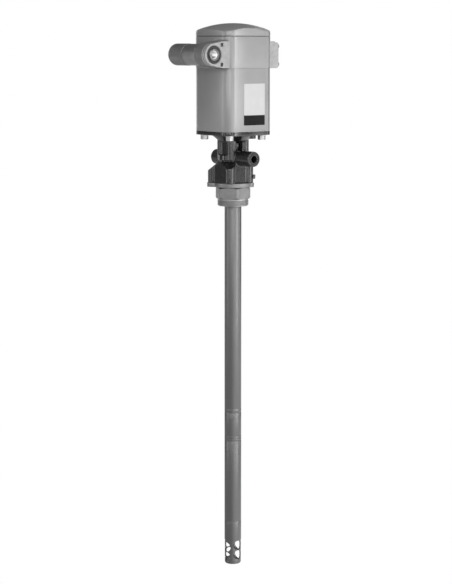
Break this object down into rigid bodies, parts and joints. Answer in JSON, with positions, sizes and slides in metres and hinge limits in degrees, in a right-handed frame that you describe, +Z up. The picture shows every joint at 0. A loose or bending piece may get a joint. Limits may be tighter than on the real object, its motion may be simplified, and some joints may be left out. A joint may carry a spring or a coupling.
{
  "type": "pneumatic grease pump",
  "caption": "Piston grease pump driven by an air motor, with a bung adapter and a long suction tube for a drum.",
  "frame": {"origin": "on the pump's axis, in the plane where the hexagon of the bung adapter seats on the drum", "axes": "+Z up along the pump's axis towards the air motor, -Y towards the air inlet and the grease outlet, +X towards the valve's end cap"},
  "size_m": [0.1783, 0.131, 1.042],
  "materials": {
    "paint": "satin light grey enamel",
    "cast_alu": "as-cast and lightly blasted",
    "black_cast": "black satin paint on a casting",
    "zinc": "zinc plated",
    "steel": "drawn and turned steel",
    "dark_steel": "hardened and blackened",
    "muffler": "wire mesh over a steel can",
    "rubber": "nitrile",
    "brass": "turned"
  },
  "bodies": {
    "root": {"top_cover": "paint", "cover_gasket": "rubber", "head_shell": "paint", "valve_block": "cast_alu", "valve_sleeve": "steel", "valve_end_cap": "cast_alu", "end_cap_screws": "dark_steel", "air_manifold": "cast_alu", "manifold_screws": "zinc", "inlet_bushing": "zinc", "muffler_body": "muffler", "muffler_core": "steel", "air_cylinder": "cast_alu", "cylinder_seals": "rubber", "shroud": "paint", "base_plate": "black_cast", "tie_bolts": "zinc", "rod_bushing": "brass", "rod_seal": "rubber", "outlet_body": "black_cast", "body_screws": "dark_steel", "packing": "rubber", "packing_nut": "dark_steel", "outlet_plug": "dark_steel", "bleed_screw": "zinc", "flange_plate": "zinc", "flange_screws": "zinc", "bung_adapter": "zinc", "suction_tube": "steel", "tube_coupling": "steel", "pump_cylinder": "steel", "foot_housing": "steel", "foot_seat": "steel"},
    "rod_train": {"air_piston": "cast_alu", "piston_seal": "rubber", "piston_nut": "zinc", "drive_rod": "steel", "coupling_pin": "steel", "pump_rod": "steel", "pump_piston": "steel", "priming_rod": "steel", "shovel_disc": "dark_steel", "shovel_nut": "dark_steel"},
    "spool": {"valve_spool": "steel", "spool_rings": "rubber"},
    "piston_check": {"piston_ball": "steel"},
    "foot_check": {"foot_disc": "steel"}
  },
  "joints": [
    {"name": "rod_slide", "type": "slide", "parent": "root", "child": "rod_train", "axis": [0, 0, -1], "range_m": [0, 0.08]},
    {"name": "spool_slide", "type": "slide", "parent": "root", "child": "spool", "axis": [1, 0, 0], "range_m": [0, 0.008]},
    {"name": "piston_ball_lift", "type": "slide", "parent": "rod_train", "child": "piston_check", "axis": [0, 0, 1], "range_m": [0, 0.004]},
    {"name": "foot_disc_lift", "type": "slide", "parent": "root", "child": "foot_check", "axis": [0, 0, 1], "range_m": [0, 0.005]}
  ]
}
